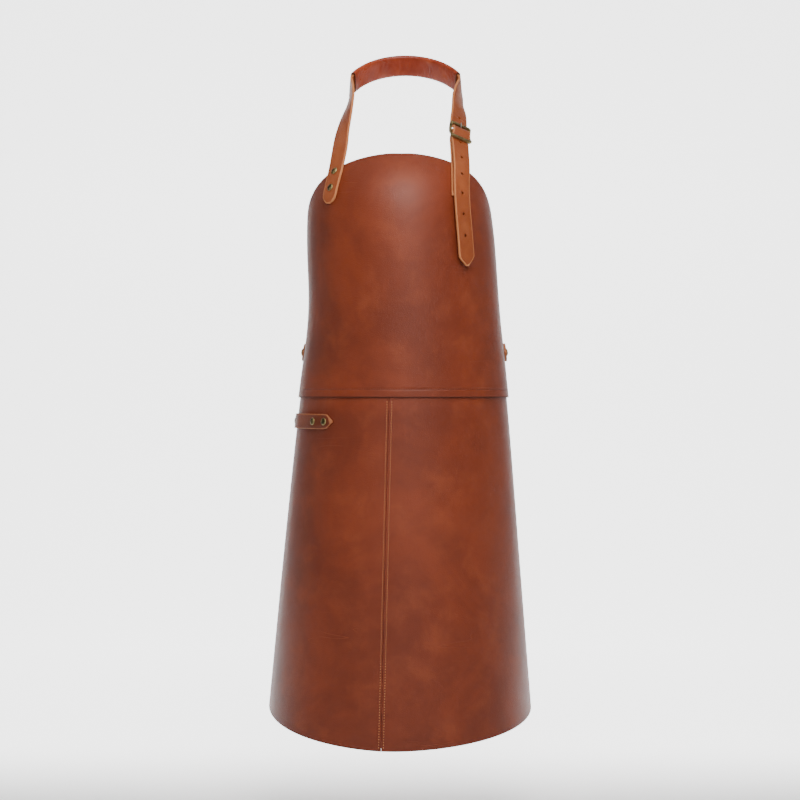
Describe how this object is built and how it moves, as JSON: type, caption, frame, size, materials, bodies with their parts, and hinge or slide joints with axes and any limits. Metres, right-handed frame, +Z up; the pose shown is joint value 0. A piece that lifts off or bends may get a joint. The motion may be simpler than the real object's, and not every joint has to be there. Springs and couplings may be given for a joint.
{
  "type": "leather apron",
  "caption": "Full-length leather work apron with a bib, a two-panel skirt, a buckled neck strap with a sliding sleeve, a buckled waist strap and a towel loop.",
  "frame": {"origin": "the point on the neck sleeve's inner face that rests on the back of the neck", "axes": "+Z up, -Y out of the front of the apron, +X to the right of someone looking at the front"},
  "size_m": [0.366, 0.3077, 0.945],
  "materials": {
    "body_leather": "semi-gloss pull-up leather, cognac brown with a red cast, cloudy tone",
    "sleeve_leather": "glossy soft leather, cognac red",
    "strap_leather": "satin tan strap leather with pale bevelled edges",
    "antique_brass": "antique brass, dark in the hollows and rubbed bright on the edges"
  },
  "bodies": {
    "apron": {"bib_panel": "body_leather", "skirt_panel_left": "body_leather", "skirt_panel_right": "body_leather", "seam_backing_strip": "body_leather", "neck_strap": "strap_leather", "neck_buckle_chape": "strap_leather", "waist_strap_right": "strap_leather", "waist_strap_left": "strap_leather", "towel_loop": "strap_leather", "neck_strap_rivet_1": "antique_brass", "neck_strap_rivet_2": "antique_brass", "neck_chape_rivet_1": "antique_brass", "neck_chape_rivet_2": "antique_brass", "waist_rivet_left_1": "antique_brass", "waist_rivet_left_2": "antique_brass", "waist_rivet_right_1": "antique_brass", "waist_rivet_right_2": "antique_brass", "towel_loop_rivet_1": "antique_brass", "towel_loop_rivet_2": "antique_brass", "towel_loop_rivet_3": "antique_brass"},
    "neck_strap_end": {"neck_strap_tail": "strap_leather"},
    "sliding_sleeve": {"neck_sleeve": "sleeve_leather"},
    "neck_buckle": {"neck_buckle_frame": "antique_brass"},
    "neck_tongue": {"neck_buckle_tongue": "antique_brass"},
    "waist_buckle": {"waist_buckle_frame": "antique_brass"},
    "waist_tongue": {"waist_buckle_tongue": "antique_brass"},
    "sliding_keeper": {"waist_keeper": "strap_leather"}
  },
  "joints": [
    {"name": "neck_strap_end_lift", "type": "hinge", "parent": "apron", "child": "neck_strap_end", "pos_m": [0.07285, -0.15278, -0.12909], "axis": [-0.8687, -0.3746, 0.324], "range_deg": [0, 60]},
    {"name": "neck_sleeve_slide", "type": "hinge", "parent": "apron", "child": "sliding_sleeve", "pos_m": [0, -0.05797, -0.05219], "axis": [0, -0.6691, 0.7431], "range_deg": [-4, 4]},
    {"name": "neck_buckle_rock", "type": "hinge", "parent": "apron", "child": "neck_buckle", "pos_m": [0.072, -0.141, -0.117], "axis": [0.8658, 0.3879, -0.3161], "range_deg": [-2, 2]},
    {"name": "neck_tongue_lift", "type": "hinge", "parent": "neck_buckle", "child": "neck_tongue", "pos_m": [0.072, -0.141, -0.117], "axis": [0.8658, 0.3879, -0.3161], "range_deg": [0, 8]},
    {"name": "waist_buckle_rock", "type": "hinge", "parent": "apron", "child": "waist_buckle", "pos_m": [-0.0385, 0.07758, -0.40596], "axis": [0.0384, -0.1448, 0.9887], "range_deg": [-2, 2]},
    {"name": "waist_tongue_lift", "type": "hinge", "parent": "waist_buckle", "child": "waist_tongue", "pos_m": [-0.0385, 0.07758, -0.40596], "axis": [0.0384, -0.1448, 0.9887], "range_deg": [0, 8]},
    {"name": "waist_keeper_slide", "type": "slide", "parent": "apron", "child": "sliding_keeper", "axis": [-0.7957, -0.6057, 0], "range_m": [-0.006, 0.006]}
  ]
}
